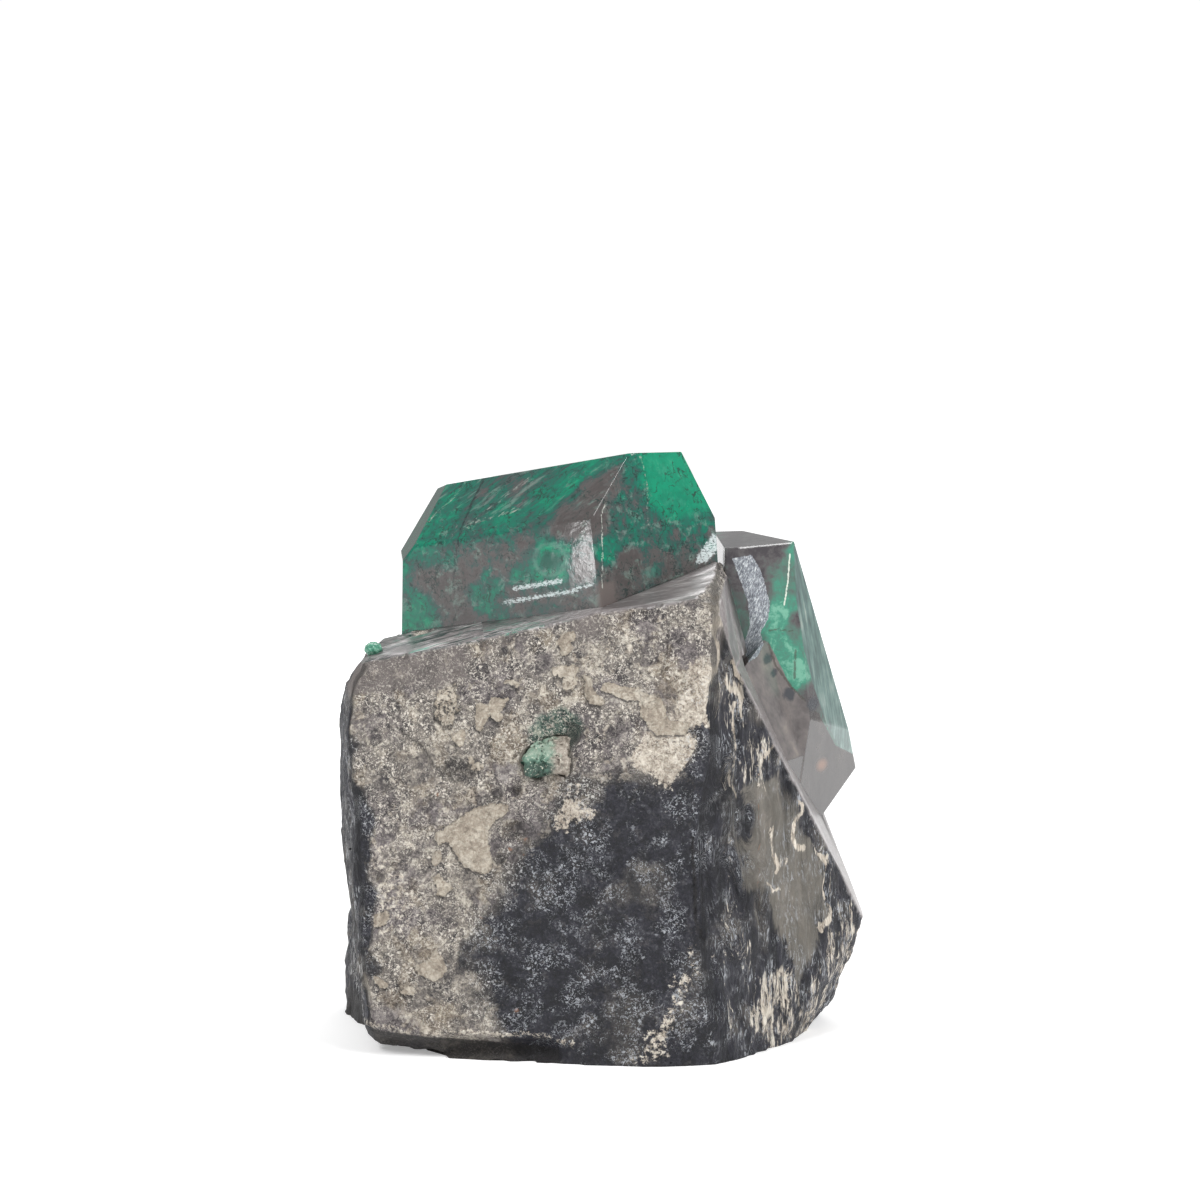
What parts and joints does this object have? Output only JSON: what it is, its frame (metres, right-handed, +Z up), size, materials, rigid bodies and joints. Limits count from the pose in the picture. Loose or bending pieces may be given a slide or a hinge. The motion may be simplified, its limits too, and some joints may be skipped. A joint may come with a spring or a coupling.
{
  "type": "emerald in matrix",
  "caption": "Rough block of mica schist with polished facetted emerald crystals grown in it, sawn flat below so that it stands.",
  "frame": {"origin": "on the sawn base plane, under the middle of the stone's bounding box", "axes": "+Z up, +X to the right along the width of the rough front face, +Y from the front face to the back"},
  "size_m": [0.1186, 0.0944, 0.1283],
  "materials": {
    "schist": "rough broken mica schist with polished top and flank",
    "emerald": "polished, green with grey-brown zones",
    "emerald_grey": "polished, grey-brown with green zones",
    "emerald_rough": "rough, pale green"
  },
  "bodies": {
    "root": {"matrix": "schist", "top_crystal": "emerald", "side_crystal": "emerald_grey", "small_crystal": "emerald_rough"}
  },
  "joints": []
}
